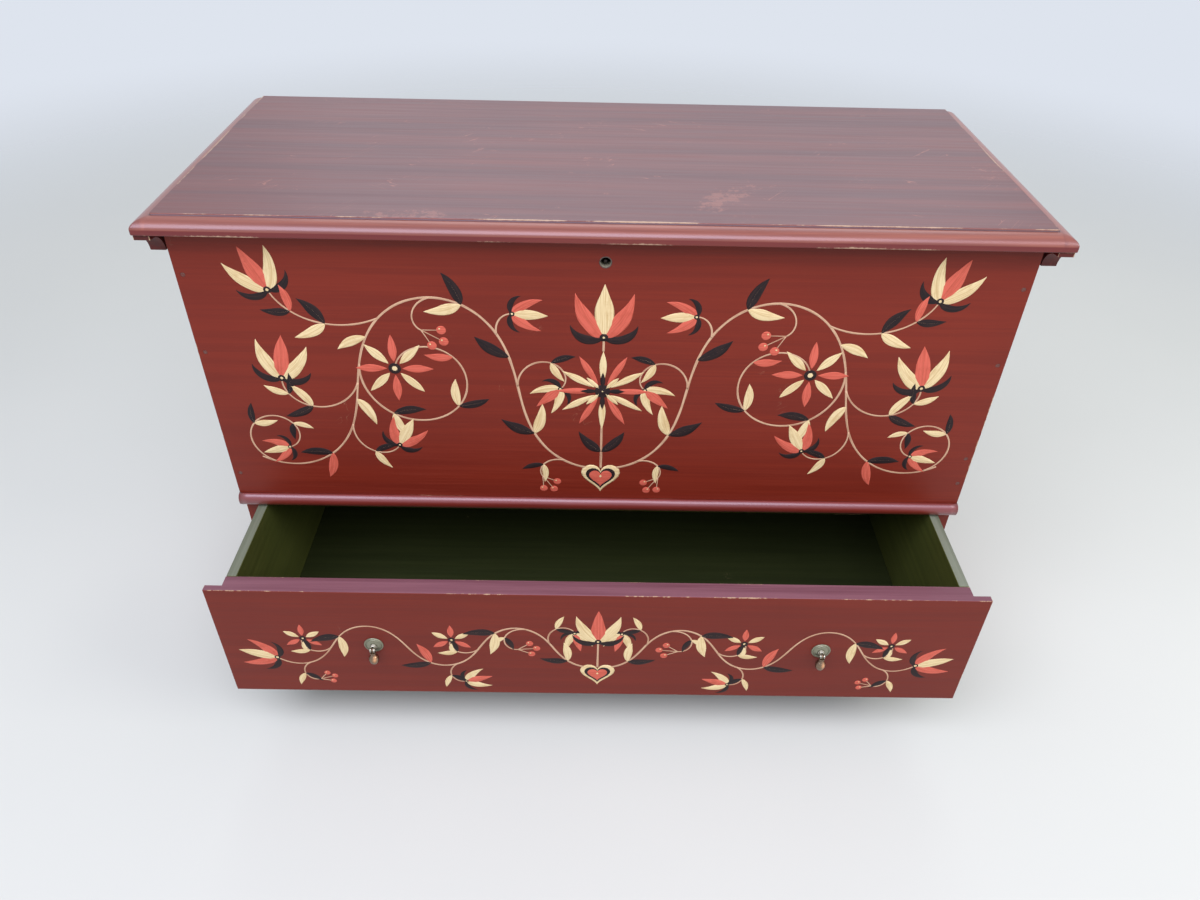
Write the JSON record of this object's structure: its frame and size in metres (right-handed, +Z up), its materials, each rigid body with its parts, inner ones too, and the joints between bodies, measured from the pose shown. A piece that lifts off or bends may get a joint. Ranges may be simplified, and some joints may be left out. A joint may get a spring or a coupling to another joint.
{
  "type": "blanket chest",
  "caption": "Painted wooden blanket chest with a hinged lid on end cleats, a waist moulding, arched board ends and a full-width drawer with brass drop pulls, shown part open.",
  "frame": {"origin": "on the floor, under the middle of the bounding box at rest, with the lid shut and the drawer open 184 mm", "axes": "+X to the right as seen from the front, +Y towards the back, +Z up; the drawer opens towards -Y"},
  "size_m": [1.168, 0.6698, 0.8053],
  "materials": {
    "red_paint": "satin",
    "lid_paint": "satin",
    "green_paint": "satin",
    "bare_pine": "matte",
    "aged_brass": "aged",
    "dark_iron": "matte",
    "painted_nail": "satin",
    "bright_steel": "brushed"
  },
  "bodies": {
    "case": {"side_board_left": "red_paint", "side_board_right": "red_paint", "front_board": "red_paint", "back_board_upper": "bare_pine", "back_board_lower": "bare_pine", "chest_bottom": "bare_pine", "waist_moulding": "red_paint", "drawer_rail": "red_paint", "runner_left": "bare_pine", "runner_right": "bare_pine", "front_nail_left_1": "painted_nail", "front_nail_left_2": "painted_nail", "front_nail_left_3": "painted_nail", "front_nail_right_1": "painted_nail", "front_nail_right_2": "painted_nail", "front_nail_right_3": "painted_nail", "front_nail_right_4": "painted_nail", "hinge_leaf_case_left": "dark_iron", "hinge_leaf_case_right": "dark_iron", "hinge_pin_left": "dark_iron", "hinge_pin_right": "dark_iron", "hinge_screw_case_left_1": "dark_iron", "hinge_screw_case_left_2": "dark_iron", "hinge_screw_case_right_1": "dark_iron", "hinge_screw_case_right_2": "dark_iron", "lock_case": "dark_iron", "lock_cover": "dark_iron", "key_pin": "dark_iron", "keyhole_liner": "dark_iron", "lock_screw_left": "dark_iron", "lock_screw_right": "dark_iron"},
    "lid": {"lid_board": "lid_paint", "cleat_left": "red_paint", "cleat_right": "red_paint", "cleat_screw_left_1": "dark_iron", "cleat_screw_left_2": "dark_iron", "cleat_screw_right_1": "dark_iron", "cleat_screw_right_2": "dark_iron", "hinge_leaf_lid_left": "dark_iron", "hinge_leaf_lid_right": "dark_iron", "hinge_screw_lid_left_1": "dark_iron", "hinge_screw_lid_left_2": "dark_iron", "hinge_screw_lid_right_1": "dark_iron", "hinge_screw_lid_right_2": "dark_iron", "lock_strike": "bright_steel"},
    "drawer": {"drawer_front": "red_paint", "drawer_side_left": "green_paint", "drawer_side_right": "green_paint", "drawer_back": "green_paint", "drawer_bottom": "green_paint", "pull_plate_left": "aged_brass", "pull_plate_right": "aged_brass", "pull_post_left": "aged_brass", "pull_post_right": "aged_brass", "pull_nut_left": "aged_brass", "pull_nut_right": "aged_brass"},
    "drop_left": {"pull_drop_left": "aged_brass"},
    "drop_right": {"pull_drop_right": "aged_brass"},
    "bolt": {"lock_bolt": "bright_steel"}
  },
  "joints": [
    {"name": "lid_hinge", "type": "hinge", "parent": "case", "child": "lid", "pos_m": [0, 0.3234, 0.78365], "axis": [-1, 0, 0], "range_deg": [0, 95]},
    {"name": "drawer_slide", "type": "slide", "parent": "case", "child": "drawer", "axis": [0, -1, 0], "range_m": [-0.184, 0.14]},
    {"name": "drop_left_swing", "type": "hinge", "parent": "drawer", "child": "drop_left", "pos_m": [-0.331, -0.3281, 0.2155], "axis": [-1, 0, 0], "range_deg": [-8, 180]},
    {"name": "drop_right_swing", "type": "hinge", "parent": "drawer", "child": "drop_right", "pos_m": [0.331, -0.3281, 0.2155], "axis": [-1, 0, 0], "range_deg": [-8, 180]},
    {"name": "bolt_throw", "type": "slide", "parent": "case", "child": "bolt", "axis": [1, 0, 0], "range_m": [0, 0.008]}
  ]
}
